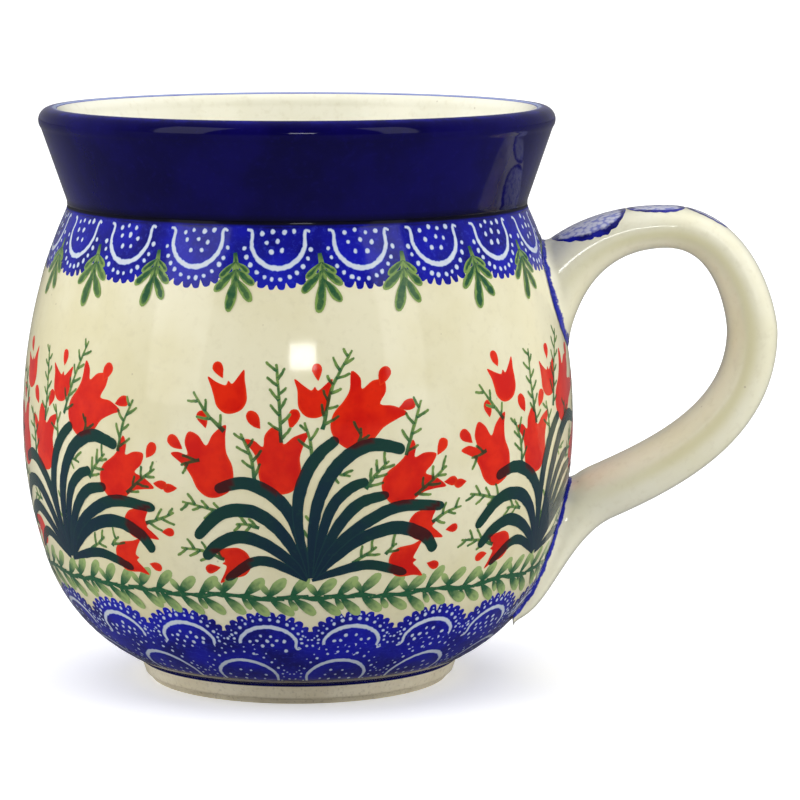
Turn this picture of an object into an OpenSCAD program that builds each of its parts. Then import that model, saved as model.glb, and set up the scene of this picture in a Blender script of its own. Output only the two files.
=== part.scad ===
// Stoneware bubble mug: a round belly under a flared collar, on a turned foot
// ring, with a pressed strap handle luted on with slip and a glaze fired over
// each surface. Millimetres, Z up, origin on the table under the mug's axis,
// handle towards +X.

/* [Overall] */
// Height from the table to the crest of the lip
mug_h = 95; // [85:0.5:115]
// Diameter across the belly at its widest
belly_d = 91.5; // [76:0.5:110]
// Height of the belly's widest point
belly_z = 43; // [36:0.5:50]

/* [Collar] */
// Height of the collar, from the neck to the crest of the lip
collar_h = 15.8; // [12:0.1:20]
// Diameter of the neck, where the collar meets the belly
neck_d = 75.6; // [66:0.1:80]
// Diameter across the lip
rim_d = 85; // [78:0.5:102]
// Radius of the hollow where the collar turns into the belly
neck_fillet_r = 2.2; // [1:0.1:4]
// How far below its middle the lip's roll meets the collar, in degrees
lip_crease_angle = 38; // [25:1:50]

/* [Belly] */
// Radius of the curve just below the belly's widest point
lower_belly_r = 70; // [60:1:90]
// Height where the lower curve tightens into the heel
heel_z = 20; // [16:0.5:24]

/* [Foot] */
// Diameter of the foot where it leaves the belly
foot_top_d = 53.4; // [46:0.2:60]
// Diameter of the foot at the table
foot_d = 51; // [44:0.2:58]
// Height of the foot ring
foot_h = 3.6; // [2.8:0.1:5]
// Width of the foot ring
foot_ring_w = 4.6; // [3.6:0.1:6]
// Radius of the foot ring's worn lower edges
foot_edge_r = 0.7; // [0.3:0.1:1]
// Depth of the well inside the foot ring
well_depth = 2.6; // [2:0.1:3.4]

/* [Walls] */
// Thickness of the wall, glaze on both faces included
wall_t = 4.2; // [3.2:0.1:5]
// Thickness of the floor over the well
floor_t = 5.4; // [4:0.1:7]
// Radius where the wall turns into the floor inside
floor_fillet_r = 9; // [4:0.5:12]
// Thickness of each coat of glaze
glaze_t = 0.3; // [0.2:0.05:0.5]
// Thickness of the slip that lutes the handle to the wall
slip_t = 0.8; // [0.5:0.1:1.2]

/* [Handle] */
// How far the handle stands out from the belly
handle_reach = 33.8; // [28:0.2:42]
// How far the top of the bow stands out from the belly
top_out = 15.1; // [11:0.1:18]
// How far the upper joint's middle is below the neck
upper_joint_drop = 15.7; // [14:0.1:20]
// How far the top of the bow stands above the upper joint's middle
handle_rise = 15.1; // [12:0.1:19]
// How far the outermost point of the bow is below the upper joint's middle
handle_sag = 6; // [3:0.1:10]
// Height of the elbow, where the lower arm turns down along the belly
elbow_z = 30.7; // [26:0.1:34]
// How far the elbow's middle stands out from the wall
elbow_out = 6; // [5:0.1:9]
// Height of the tip of the tail that is smeared down the belly
tail_z = 11.6; // [9:0.1:16]
// Width of the strap, across the mug
strap_w = 15; // [11:0.5:20]
// Thickness of the strap at the top of its bow
strap_t = 7.1; // [5.5:0.1:9]
// Thickness of the strap along its outer and lower arms
arm_t = 8.4; // [6:0.1:10.5]
// Thickness of the strap at the elbow
elbow_t = 9; // [7:0.1:11]
// Thickness of the strap where its root is worked into the wall
root_t = 15; // [11:0.5:18]
// Thickness of the tail's tip
tail_t = 3.2; // [2.4:0.1:4]
// Width of the joints as a multiple of the strap's width
joint_spread = 1.35; // [1:0.05:1.6]

/* [Hidden] */

$fn = 144;
arc_steps = 18;        // segments in each long arc of an outline
fillet_steps = 6;      // segments in each small fillet
bow_steps = 9;         // rings in each stretch of the handle
section_steps = 24;    // points round the handle's section

belly_r = belly_d / 2;
neck_r = neck_d / 2;
neck_z = mug_h - collar_h;
lip_r = wall_t / 2;                       // the lip is rolled over the wall's full thickness
lip_c = [rim_d / 2 - lip_r, mug_h - lip_r];
foot_top_r = foot_top_d / 2;
foot_r = foot_d / 2;
floor_z = well_depth + floor_t;
foot_glaze_z = foot_edge_r + 0.3;         // the glazer wipes the foot clean below this
liner_angle = 118;                        // how far round the lip's roll the collar's colour reaches

// ---- outline geometry: points are [radius, height] ----

function unit(v) = v / norm(v);
function arc(c, r, a0, a1, n) = [for (i = [0:n]) c + r * [cos(a0 + (a1 - a0) * i / n), sin(a0 + (a1 - a0) * i / n)]];
function angle_of(c, p) = atan2(p[1] - c[1], p[0] - c[0]);

// An arc of radius r in the corner at q between the lines to p and to s.
function fillet(p, q, s, r) =
    let (u = unit(p - q), v = unit(s - q),
         half = acos(u * v) / 2,
         c = q + unit(u + v) * r / sin(half),
         a0 = angle_of(c, q + u * r / tan(half)),
         a1 = angle_of(c, q + v * r / tan(half)),
         turn = a1 - a0 > 180 ? a1 - a0 - 360 : a1 - a0 < -180 ? a1 - a0 + 360 : a1 - a0)
    arc(c, r, a0, a0 + turn, fillet_steps);

// The belly is three arcs, each tangent to the next: shoulder, lower belly and heel.
shoulder_r = let (drop = belly_r - neck_r, rise = neck_z - belly_z) (rise * rise + drop * drop) / (2 * drop);
shoulder_c = [belly_r - shoulder_r, belly_z];
lower_c = [belly_r - lower_belly_r, belly_z];
heel_angle = -asin((belly_z - heel_z) / lower_belly_r);
heel_top = lower_c + lower_belly_r * [cos(heel_angle), sin(heel_angle)];
heel_in = unit(lower_c - heel_top);
heel_chord = heel_top - [foot_top_r, foot_h];
heel_r = -(heel_chord * heel_chord) / (2 * (heel_chord * heel_in));
heel_c = heel_top + heel_r * heel_in;
shoulder_angle = angle_of(shoulder_c, [neck_r, neck_z]);

// The radius of the glazed belly at height z.
function belly_r_at(z) =
    z > belly_z ? shoulder_c[0] + sqrt(pow(shoulder_r, 2) - pow(z - belly_z, 2))
    : z > heel_z ? lower_c[0] + sqrt(pow(lower_belly_r, 2) - pow(z - belly_z, 2))
    : heel_c[0] + sqrt(pow(heel_r, 2) - pow(z - heel_c[1], 2));

// The belly's outline at a depth below the glazed surface, from under the neck down to the foot.
function belly_arcs(depth) = concat(
    arc(shoulder_c, shoulder_r - depth, shoulder_angle * 0.9, 0, arc_steps),
    [for (p = arc(lower_c, lower_belly_r - depth, 0, heel_angle, arc_steps)) if (p[1] < belly_z - 0.01) p],
    [for (p = arc(heel_c, heel_r - depth, heel_angle, angle_of(heel_c, [foot_top_r, foot_h]), arc_steps))
        if (p[1] < heel_top[1] + depth * sin(-heel_angle) - 0.01) p]);

// The corner of the neck and the foot of the lip's roll, at a depth below the glazed surface.
crease = lip_c + lip_r * [cos(-lip_crease_angle), sin(-lip_crease_angle)];
collar_run = unit(crease - [neck_r, neck_z]);
collar_out = [collar_run[1], -collar_run[0]];
function lip_foot(depth) = crease - collar_out * depth;
function neck_corner(depth) = [neck_r, neck_z] - collar_out * depth - [depth * 0.08, 0];
function neck_curve(depth) =
    fillet(lip_foot(depth), neck_corner(depth), belly_arcs(depth)[0], neck_fillet_r + depth);

// Half of the neck's curve belongs to the collar's glaze and half to the belly's.
neck_half = floor(fillet_steps / 2);
function collar_path(depth) = concat(
    arc(lip_c, lip_r - depth, liner_angle, -lip_crease_angle + depth * 6, arc_steps),
    [for (i = [0:neck_half]) neck_curve(depth)[i]]);
function belly_path(depth) = concat(
    [for (i = [neck_half:fillet_steps]) neck_curve(depth)[i]], belly_arcs(depth));
function foot_path(depth) = [
    [foot_top_r - depth, foot_h],
    [foot_top_r - depth - (foot_top_r - foot_r) * (foot_h - foot_glaze_z) / foot_h, foot_glaze_z]];

// The inside, a wall's thickness behind the belly, from the lip down to the floor's centre.
inner_neck = [neck_r - wall_t, neck_z + wall_t * 0.2];
inner_lip = lip_c - [lip_r, 0];
inner_heel_c = heel_c;
inner_heel_r = heel_r - wall_t;
floor_corner = [inner_heel_c[0] + sqrt(pow(inner_heel_r, 2) - pow(inner_heel_c[1] - floor_z, 2)), floor_z];
inner_arcs = concat(
    [for (p = arc(shoulder_c, shoulder_r - wall_t, shoulder_angle * 0.84, 0, arc_steps)) p],
    [for (p = arc(lower_c, lower_belly_r - wall_t, 0, heel_angle, arc_steps)) if (p[1] < belly_z - 0.01) p],
    [for (p = arc(inner_heel_c, inner_heel_r, heel_angle, -90, 3 * arc_steps))
        if (p[1] < heel_top[1] && p[1] > floor_z + floor_fillet_r * 0.42) p]);

// depth here is measured from the glazed surface into the clay, away from the hollow.
function inner_path(depth) =
    let (grow = [depth, 0], sink = [0, -depth],
         low = inner_arcs[len(inner_arcs) - 1])
    concat(
        arc(lip_c, lip_r - depth, liner_angle, 180, fillet_steps),
        [for (p = fillet(inner_lip, inner_neck, inner_arcs[0], 4 * neck_fillet_r)) p + grow],
        [for (p = inner_arcs) p + depth * unit(p - (p[1] > belly_z ? shoulder_c : p[1] > heel_top[1] ? lower_c : heel_c))],
        [for (p = fillet(low, floor_corner, [0, floor_z], floor_fillet_r)) p + grow * 0.7 + sink * 0.7],
        [[0, floor_z - depth]]);

function reversed(list) = [for (i = [len(list) - 1:-1:0]) list[i]];

// A coat between a path on the surface and the same path under the glaze.
module coat(surface, clay) rotate_extrude() polygon(concat(surface, reversed(clay)));

// Everything within the belly, collar and foot at a depth, with no hollow.
module full_form(depth)
    rotate_extrude() polygon(concat(
        [[0, 0], [foot_r - foot_edge_r, 0], [foot_top_r - glaze_t, foot_h]],
        reversed(belly_path(depth)),
        [[neck_r - glaze_t, neck_z], [neck_r - glaze_t, mug_h], [0, mug_h]]));

// ---- handle geometry: points are [x, z] in the mug's middle plane ----

function bezier(p, t) =
    pow(1 - t, 3) * p[0] + 3 * pow(1 - t, 2) * t * p[1] + 3 * (1 - t) * t * t * p[2] + pow(t, 3) * p[3];
function bezier_run(p, t) =
    3 * pow(1 - t, 2) * (p[1] - p[0]) + 6 * (1 - t) * t * (p[2] - p[1]) + 3 * t * t * (p[3] - p[2]);
function smooth(a, b, t) = a + (b - a) * t * t * (3 - 2 * t);

upper_joint_z = neck_z - upper_joint_drop;
root_z = upper_joint_z - 11.5;            // the strap starts low inside the wall and rises out of it
handle_root = [belly_r_at(root_z) - 8.9, root_z];
handle_top = [belly_r + top_out, upper_joint_z + handle_rise - strap_t / 2];
handle_out = [belly_r + handle_reach - arm_t / 2, upper_joint_z - handle_sag];
handle_elbow = [belly_r_at(elbow_z) + elbow_out, elbow_z];
handle_tail = [belly_r_at(tail_z) - 1.8, tail_z];

// How far each end of a stretch pulls the strap's middle line, and which way.
root_pull = [1.9, 10.2];
bow_pull = (handle_out[0] - handle_top[0]) * 0.82;
out_pull = (handle_out[1] - elbow_z) * 0.54;
elbow_pull = [11.9, 5.3];
tail_pull = [5.4, 0.2];
elbow_spread = 1.1;

// Each stretch is a cubic with its strap thickness and relative width at both ends.
stretches = [
    [[handle_root, handle_root + root_pull, handle_top - [bow_pull * 1.34, 0], handle_top],
        [root_t, strap_t], [joint_spread, 1]],
    [[handle_top, handle_top + [bow_pull, 0], handle_out + [0, bow_pull * 0.22], handle_out],
        [strap_t, arm_t], [1, 1]],
    [[handle_out, handle_out - [0, out_pull], handle_elbow + elbow_pull, handle_elbow],
        [arm_t, elbow_t], [1, elbow_spread]],
    [[handle_elbow, handle_elbow - elbow_pull * 0.79, handle_tail + tail_pull, handle_tail],
        [elbow_t, tail_t], [elbow_spread, joint_spread]]];

stations = concat(
    [for (s = [0:len(stretches) - 1]) for (i = [0:bow_steps - 1]) [s, i / bow_steps]],
    [[len(stretches) - 1, 1]]);
squareness = 2.5;      // the section is a superellipse of this power

function section_power(x) = sign(x) * pow(abs(x), 2 / squareness);
function ring(station, depth) =
    let (s = stretches[station[0]], t = station[1],
         c = bezier(s[0], t),
         run = unit(bezier_run(s[0], t)),
         out = [-run[1], run[0]],
         half_t = smooth(s[1][0], s[1][1], t) / 2 - depth,
         half_w = smooth(s[2][0], s[2][1], t) * strap_w / 2 - depth)
    [for (k = [0:section_steps - 1])
        let (a = 360 * k / section_steps,
             p = c + out * half_t * section_power(cos(a)))
        [p[0], half_w * section_power(sin(a)), p[1]]];

last_ring = len(stations) - 1;
function around(from, flip) = [for (j = [0:last_ring - 1]) for (k = [0:section_steps - 1])
    let (a = from + j * section_steps + k,
         b = from + j * section_steps + (k + 1) % section_steps,
         c = b + section_steps,
         d = a + section_steps)
    for (f = flip ? [[a, c, b], [a, d, c]] : [[a, b, c], [a, c, d]]) f];
function ring_end(from, j, flip) =
    [for (k = [0:section_steps - 1]) from + j * section_steps + (flip ? section_steps - 1 - k : k)];
function hoop(a, b, flip) = [for (k = [0:section_steps - 1])
    let (m = (k + 1) % section_steps)
    for (f = flip ? [[a + k, b + m, a + m], [a + k, b + k, b + m]]
                  : [[a + k, a + m, b + m], [a + k, b + m, b + k]]) f];
function sweep(depth) = [for (st = stations) for (p = ring(st, depth)) p];

// The strap, solid, with its surface at a depth under the glaze.
module strap(depth)
    polyhedron(sweep(depth),
        concat(around(0, false), [ring_end(0, 0, true), ring_end(0, last_ring, false)]), convexity = 6);

// The coat of glaze round the strap.
module strap_coat() {
    inner = len(stations) * section_steps;
    end = last_ring * section_steps;
    polyhedron(concat(sweep(0), sweep(glaze_t)),
        concat(around(0, false), around(inner, true), hoop(inner, 0, false), hoop(end, inner + end, false)),
        convexity = 8);
}

// Half of space above or below the middle of the handle.
split_z = (handle_out[1] + elbow_z) / 2;
module half_space(above)
    translate([0, -belly_d, above ? split_z : -1])
        cube([2 * belly_d, 2 * belly_d, above ? mug_h : split_z + 1]);

// ---- pieces ----

module vessel() color("wheat")
    rotate_extrude() polygon(concat(
        [[0, well_depth], [foot_r - foot_ring_w - 0.4, well_depth]],
        [[foot_r - foot_ring_w, foot_edge_r], [foot_r - foot_ring_w + foot_edge_r, 0]],
        [[foot_r - foot_edge_r, 0], [foot_r - glaze_t, foot_edge_r]],
        [[foot_top_r - glaze_t, foot_h]],
        reversed(belly_path(glaze_t)),
        reversed(collar_path(glaze_t)),
        inner_path(glaze_t)));

module handle() color("wheat")
    difference() {
        strap(glaze_t);
        full_form(glaze_t - slip_t);
    }

module slip_joint(above)
    difference() {
        intersection() {
            strap(glaze_t);
            full_form(glaze_t - slip_t);
            half_space(above);
        }
        full_form(glaze_t);
    }

module upper_slip_joint() color("tan") slip_joint(true);
module lower_slip_joint() color("tan") slip_joint(false);

module collar_glaze() color("midnightblue") coat(collar_path(0), collar_path(glaze_t));
module liner_glaze() color("ivory") coat(inner_path(0), inner_path(glaze_t));
module foot_glaze() color("beige") coat(foot_path(0), foot_path(glaze_t));
module well_glaze() color("ivory")
    translate([0, 0, well_depth - glaze_t]) cylinder(r = foot_r - foot_ring_w - 0.4, h = glaze_t);

module belly_glaze() color("ivory")
    difference() {
        coat(belly_path(0), belly_path(glaze_t));
        strap(0);
    }

module handle_glaze() color("ivory")
    difference() {
        strap_coat();
        full_form(glaze_t);
    }

vessel();
handle();
upper_slip_joint();
lower_slip_joint();
collar_glaze();
liner_glaze();
belly_glaze();
foot_glaze();
well_glaze();
handle_glaze();
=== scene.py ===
"""Stoneware bubble mug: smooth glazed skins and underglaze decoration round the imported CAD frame.

Lengths are millimetres unless a name says otherwise; meshes are built in metres. A place on the
belly is an angle from the front, towards +X, and a length s down its outline from the neck.
"""
import math
import random

import bpy
import numpy as np
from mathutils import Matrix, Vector


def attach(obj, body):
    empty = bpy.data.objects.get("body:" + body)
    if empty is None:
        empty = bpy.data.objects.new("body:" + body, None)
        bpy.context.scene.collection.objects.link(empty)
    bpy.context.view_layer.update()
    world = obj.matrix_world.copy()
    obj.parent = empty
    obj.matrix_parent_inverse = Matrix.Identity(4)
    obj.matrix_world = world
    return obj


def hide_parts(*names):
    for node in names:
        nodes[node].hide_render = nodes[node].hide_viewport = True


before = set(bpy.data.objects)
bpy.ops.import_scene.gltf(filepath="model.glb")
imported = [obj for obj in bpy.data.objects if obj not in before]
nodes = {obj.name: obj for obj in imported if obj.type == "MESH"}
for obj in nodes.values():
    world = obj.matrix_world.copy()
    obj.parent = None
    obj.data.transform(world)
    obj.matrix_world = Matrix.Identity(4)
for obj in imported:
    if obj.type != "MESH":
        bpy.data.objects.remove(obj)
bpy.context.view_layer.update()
MM = 0.001
rng = random.Random(11)

# ---- sizes, as the frame has them
MUG_H, BELLY_R, BELLY_Z = 95.0, 45.75, 43.0
NECK_R, NECK_Z, RIM_R = 37.8, 79.2, 42.5
LOWER_R, HEEL_Z, FOOT_TOP_R, FOOT_R, FOOT_H = 70.0, 20.0, 26.7, 25.5, 3.6
WALL_T, FLOOR_T, WELL_DEPTH, FLOOR_FILLET = 4.2, 5.4, 2.6, 9.0
LIP_R = WALL_T / 2
LIP_IN, LIP_OUT = 118, -38  # degrees round the lip where the cobalt starts and where the collar leaves it
SKIN = 0.10  # the skins lie this far inside the frame's glaze, under the painting
LAYER, STRAP_LAYER = 0.011, 0.012  # the lift of one layer of pigment on the belly and on the handle

# what build is given for the pieces on the belly and on the handle: a name, and the frame's node that they
# stand for
ON_BELLY = ("decorated_glaze", ["belly_glaze"])
ON_HANDLE = ("ivory_glaze", ["handle_glaze"])


# ---- outlines, points are (radius, height)
def unit(deg):
    return np.array([math.cos(math.radians(deg)), math.sin(math.radians(deg))])


def arc(c, r, a0, a1, n):
    """n + 1 points on the circle of radius r round c, from a0 to a1 degrees."""
    a = np.radians(np.linspace(a0, a1, n + 1))
    return np.stack([c[0] + r * np.cos(a), c[1] + r * np.sin(a)], 1)


def angle_of(c, p):
    return math.degrees(math.atan2(p[1] - c[1], p[0] - c[0]))


def fillet(p, q, s, r, n=24):
    """The arc of radius r that rounds the corner at q between p and s."""
    p, q, s = (np.array(v, float) for v in (p, q, s))
    u, v = (p - q) / np.linalg.norm(p - q), (s - q) / np.linalg.norm(s - q)
    half = math.acos(float(u @ v)) / 2
    c = q + (u + v) / np.linalg.norm(u + v) * r / math.sin(half)
    a0 = angle_of(c, q + u * r / math.tan(half))
    turn = (angle_of(c, q + v * r / math.tan(half)) - a0 + 180) % 360 - 180
    return arc(c, r, a0, a0 + turn, n)


shoulder_drop, shoulder_rise = BELLY_R - NECK_R, NECK_Z - BELLY_Z
shoulder_r = (shoulder_rise ** 2 + shoulder_drop ** 2) / (2 * shoulder_drop)
shoulder_c = np.array([BELLY_R - shoulder_r, BELLY_Z])
shoulder_a = angle_of(shoulder_c, (NECK_R, NECK_Z))
lower_c = np.array([BELLY_R - LOWER_R, BELLY_Z])
heel_a = -math.degrees(math.asin((BELLY_Z - HEEL_Z) / LOWER_R))
heel_top = lower_c + LOWER_R * unit(heel_a)
heel_in = (lower_c - heel_top) / np.linalg.norm(lower_c - heel_top)
heel_chord = heel_top - np.array([FOOT_TOP_R, FOOT_H])
heel_r = -float(heel_chord @ heel_chord) / (2 * float(heel_chord @ heel_in))
heel_c = heel_top + heel_r * heel_in
lip_c = np.array([RIM_R - LIP_R, MUG_H - LIP_R])
crease = lip_c + LIP_R * unit(LIP_OUT)


def belly_arcs(depth=0, neck_share=0.9, counts=(160, 100, 120), end=None):
    """Shoulder, lower belly and heel, depth inside the outer face, down to the foot or to end degrees."""
    end = angle_of(heel_c, (FOOT_TOP_R, FOOT_H)) if end is None else end
    return np.concatenate([
        arc(shoulder_c, shoulder_r - depth, shoulder_a * neck_share, 0, counts[0])[:-1],
        arc(lower_c, LOWER_R - depth, 0, heel_a, counts[1])[:-1],
        arc(heel_c, heel_r - depth, heel_a, end, counts[2])])


neck_curve = fillet(crease, (NECK_R, NECK_Z), belly_arcs()[0], 2.2)
NECK_HALF = len(neck_curve) // 2
belly_line = np.concatenate([neck_curve[NECK_HALF:], belly_arcs()])
collar_line = np.concatenate([arc(lip_c, LIP_R, LIP_IN, LIP_OUT, 60), neck_curve[:NECK_HALF + 1]])


class Outline:
    """A revolved outline, walked by its length from the first point."""

    def __init__(self, pts):
        step = np.hypot(*np.diff(pts, axis=0).T)
        keep = np.concatenate([[True], step > 1e-6])
        pts = pts[keep]
        s = np.concatenate([[0], np.cumsum(np.hypot(*np.diff(pts, axis=0).T))])
        self.length = s[-1]
        fine = np.arange(0, self.length, 0.05)
        p = np.stack([np.interp(fine, s, v) for v in pts.T], 1)
        self.f, self.p = fine, p
        t = np.gradient(p, axis=0)
        pad = np.pad(t, ((6, 6), (0, 0)), mode="edge")
        t = np.stack([np.convolve(pad[:, k], np.ones(13) / 13, "valid") for k in (0, 1)], 1)
        t /= np.linalg.norm(t, axis=1)[:, None]
        self.n = np.stack([-t[:, 1], t[:, 0]], 1)

    def at(self, ang, s, lift=0.0):
        """Points and normals at angle ang (radians from the front, towards +X) and length s."""
        s = np.asarray(s, float)
        r, z, nr, nz = (np.interp(s, self.f, v) for v in (*self.p.T, *self.n.T))
        k = np.hypot(nr, nz)
        nr, nz = nr / k, nz / k
        r, z = r + nr * lift, z + nz * lift
        sa, ca = np.sin(ang), -np.cos(ang)
        return np.stack([r * sa, r * ca, z], -1), np.stack([nr * sa, nr * ca, nz], -1)

    def radius(self, s):
        return np.interp(s, self.f, self.p[:, 0])


BELLY = Outline(belly_line)
S_END = BELLY.length


# ---- meshes
class Skin:
    """Gathers points, normals, faces and per-point values, then makes one object of them."""

    def __init__(self):
        self.v, self.n, self.f, self.a, self.count = [], [], [], {}, 0

    def add(self, verts, normals, faces, **values):
        """Takes points, their normals and faces; each value is one number or one for each point."""
        verts = np.asarray(verts, float).reshape(-1, 3)
        self.v.append(verts)
        self.n.append(np.asarray(normals, float).reshape(-1, 3))
        for name, val in values.items():
            val = np.broadcast_to(np.asarray(val, float).ravel(), (len(verts),))
            self.a.setdefault(name, []).append(val)
        self.f.extend([tuple(int(i) + self.count for i in f) for f in faces])
        self.count += len(verts)

    def build(self, name, material, slot, replaces):
        """Makes the piece, on the body root."""
        v = np.concatenate(self.v) * MM
        mesh = bpy.data.meshes.new(name)
        mesh.from_pydata(v.tolist(), [], self.f)
        mesh.validate()
        for key, parts in self.a.items():
            layer = mesh.attributes.new(key, "FLOAT", "POINT")
            layer.data.foreach_set("value", np.concatenate(parts).astype(np.float32))
        mesh.polygons.foreach_set("use_smooth", [True] * len(mesh.polygons))
        mesh.normals_split_custom_set_from_vertices(np.concatenate(self.n).tolist())
        mesh.materials.append(material)
        obj = bpy.data.objects.new(name, mesh)
        bpy.context.scene.collection.objects.link(obj)
        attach(obj, "root")
        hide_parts(*replaces)
        return obj


def grid_faces(rows, cols, wrap=False, flip=False):
    """Quads between rows of cols points; wrap joins each row's end to its start."""
    out = []
    for j in range(rows - 1):
        for i in range(cols if wrap else cols - 1):
            a, b = j * cols + i, j * cols + (i + 1) % cols
            q = (a, b, b + cols, a + cols)
            out.append(q[::-1] if flip else q)
    return out


def revolve(skin, outline, s_list, around=360, lift=0.0, **values):
    """Adds the outline's turned surface at the lengths in s_list; each value is one number or one a row."""
    ang = np.linspace(0, 2 * math.pi, around, endpoint=False)
    A, S = np.meshgrid(ang, s_list)
    p, n = outline.at(A, S, lift)
    rows = len(s_list)
    vals = {k: np.repeat(np.broadcast_to(np.asarray(v, float), rows), around) for k, v in values.items()}
    skin.add(p, n, grid_faces(rows, around, wrap=True, flip=True), **vals)


# ---- flat shapes: points, faces, rim (mm in from the edge) and run (0 to 1 along)
def bend(a, b, c, d, t):
    """A Catmull-Rom curve from b (t = 0) to c (t = 1)."""
    return 0.5 * (2 * b + (c - a) * t + (2 * a - 5 * b + 4 * c - d) * t * t
                  + (3 * b - a - 3 * c + d) * t ** 3)


def smooth_line(points, places):
    """Points at places (0 to 1) along a Catmull-Rom curve through points."""
    p = np.array(points, float)
    p = np.concatenate([[2 * p[0] - p[1]], p, [2 * p[-1] - p[-2]]])
    out = []
    for t in np.asarray(places) * (len(p) - 3 - 1e-9):
        k = int(t)
        out.append(bend(*p[k:k + 4], t - k))
    return np.array(out)


def closed_curve(points, k=4):
    """A closed Catmull-Rom curve with k points for each one given."""
    o = np.array(points, float)
    n = len(o)
    return np.array([bend(o[i - 1], o[i], o[(i + 1) % n], o[(i + 2) % n], t / k)
                     for i in range(n) for t in range(k)])


def rough(n, size, seed, bumps=7):
    """A closed run of n small wobbles."""
    r = random.Random(seed)
    t = np.linspace(0, 2 * math.pi, n, endpoint=False)
    out = np.zeros(n)
    for k in range(2, bumps + 2):
        out += r.uniform(-1, 1) * np.sin(k * t + r.uniform(0, 6.28)) / k
    return out * size


def stroke(points, width, steps=None, seed=0, wobble=0.06, tips=0.0):
    """A brush stroke through points, width(u) wide at u (0 to 1 along it). tips rounds its end."""
    length = float(np.hypot(*np.diff(np.array(points, float), axis=0).T).sum())
    steps = steps or max(5, int(length / 0.75))
    u = np.linspace(0, 1, steps + 1)
    end = tips / length
    if tips:
        turn = np.radians([0, 25, 45, 62, 76, 86])
        u = np.concatenate([u[u < 1 - end * 1.15], 1 - end + end * np.sin(turn)])
        steps = len(u) - 1
    c = smooth_line(points, u)
    t = np.gradient(c, axis=0)
    t /= np.maximum(np.linalg.norm(t, axis=1), 1e-9)[:, None]
    nrm = np.stack([-t[:, 1], t[:, 0]], 1)
    w = width(u) / 2
    if tips:
        w = w * np.sqrt(1 - np.clip((u - 1 + end) / end, 0, 1) ** 2)
    r = random.Random(seed)
    left, right = (w * (1 + wobble * np.array([r.uniform(-1, 1) for _ in u])) for _ in range(2))
    k = np.array([1.0, 0.55, 0.0, -0.55, -1.0])
    side = np.where(k[None, :] > 0, left[:, None], right[:, None])
    pts = c[:, None, :] + nrm[:, None, :] * (k[None, :] * side)[..., None]
    rim = side * (1 - np.abs(k))[None, :]
    run = np.repeat(u[:, None], 5, 1)
    return pts.reshape(-1, 2), grid_faces(steps + 1, 5), rim.ravel(), run.ravel()


def blob(outline, centre, rings=(1.0, 0.82, 0.6, 0.3)):
    """A filled closed outline: rings drawn in towards its centre."""
    o, c = np.array(outline, float), np.array(centre, float)
    n = len(o)
    pts, rim = [], []
    radius = np.linalg.norm(o - c, axis=1)
    for k in rings:
        pts.append(c + (o - c) * k)
        rim.append(radius * (1 - k))
    pts = np.concatenate(pts + [c[None]])
    rim = np.concatenate(rim + [[radius.mean()]])
    faces = grid_faces(len(rings), n, wrap=True)
    base, last = (len(rings) - 1) * n, len(pts) - 1
    faces += [(base + i, base + (i + 1) % n, last) for i in range(n)]
    return pts, faces, rim, np.ones(len(pts))


def drop(x0, y0, x1, y1, w, seed=0, blunt=0.62):
    """A teardrop leaf or bud, pointed at (x0, y0) and round at (x1, y1)."""
    n = 18
    axis = np.array([x1 - x0, y1 - y0])
    length = np.linalg.norm(axis)
    d = axis / length
    side = np.array([-d[1], d[0]])
    t = np.linspace(0, 2 * math.pi, n, endpoint=False)
    along = (1 - np.cos(t)) / 2
    across = np.sin(t) * np.power(along, blunt) * (w / 2)
    across = across + rough(n, 0.05 * w, seed)
    o = np.array([x0, y0]) + np.outer(along * length, d) + np.outer(across, side)
    pts, faces, rim, _ = blob(o, (x0 + axis[0] * 0.6, y0 + axis[1] * 0.6))
    return pts, faces, rim, (pts - [x0, y0]) @ d / length


def turned(pts, a):
    """Flat points turned by a radians about (0, 0)."""
    c, s = math.cos(a), math.sin(a)
    return pts @ np.array([[c, s], [-s, c]])


def facing(pts, faces):
    """Turns faces so that they all run anticlockwise."""
    out = []
    for f in faces:
        p = pts[list(f)]
        ahead = [(p[i], p[(i + 1) % len(f)]) for i in range(len(f))]
        area = sum(a[0] * b[1] - b[0] * a[1] for a, b in ahead)
        out.append(f if area > 0 else f[::-1])
    return out


class Paint:
    """One pigment on one surface. lay() puts a flat shape at a place on it."""

    def __init__(self, surface):
        self.skin, self.surface = Skin(), surface

    def lay(self, shape, where, layer, tone=None, turn=0.0, scale=1.0, over=0.0):
        """tone picks this shape's shade, at random if it is left out; over is 1 on points over a tulip."""
        pts, faces, rim, run = shape
        p = np.array(pts, float)
        p = turned(p, turn) * scale
        tone = rng.random() if tone is None else tone
        v, n = self.surface(p[:, 0], p[:, 1], where, layer)
        self.skin.add(v, n, facing(p, faces), rim=rim * scale, run=run, tone=tone, over=over)


def on_belly(x, y, where, layer, r=BELLY_R):
    """x to the right and y up from where = (angle in degrees, length down the belly)."""
    ang0, s0 = where
    s = np.clip(s0 - y, 0.0, S_END)
    return BELLY.at(math.radians(ang0) + x / r, s, -SKIN + LAYER * layer)


def on_belly_true(x, y, where, layer):
    """The same, with x kept to its true length at where's height."""
    return on_belly(x, y, where, layer, float(BELLY.radius(where[1])))


def inside(pts, outlines):
    """1 for the points that lie in any of the closed outlines, else 0."""
    out = np.zeros(len(pts))
    for o in outlines:
        a, b = o, np.roll(o, -1, 0)
        rise = np.where(b[:, 1] == a[:, 1], 1e-9, b[:, 1] - a[:, 1])
        for i, (x, y) in enumerate(pts):
            cross = (a[:, 1] > y) != (b[:, 1] > y)
            at = a[:, 0] + (y - a[:, 1]) * (b[:, 0] - a[:, 0]) / rise
            out[i] = max(out[i], float((cross & (x < at)).sum() % 2))
    return out


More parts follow.
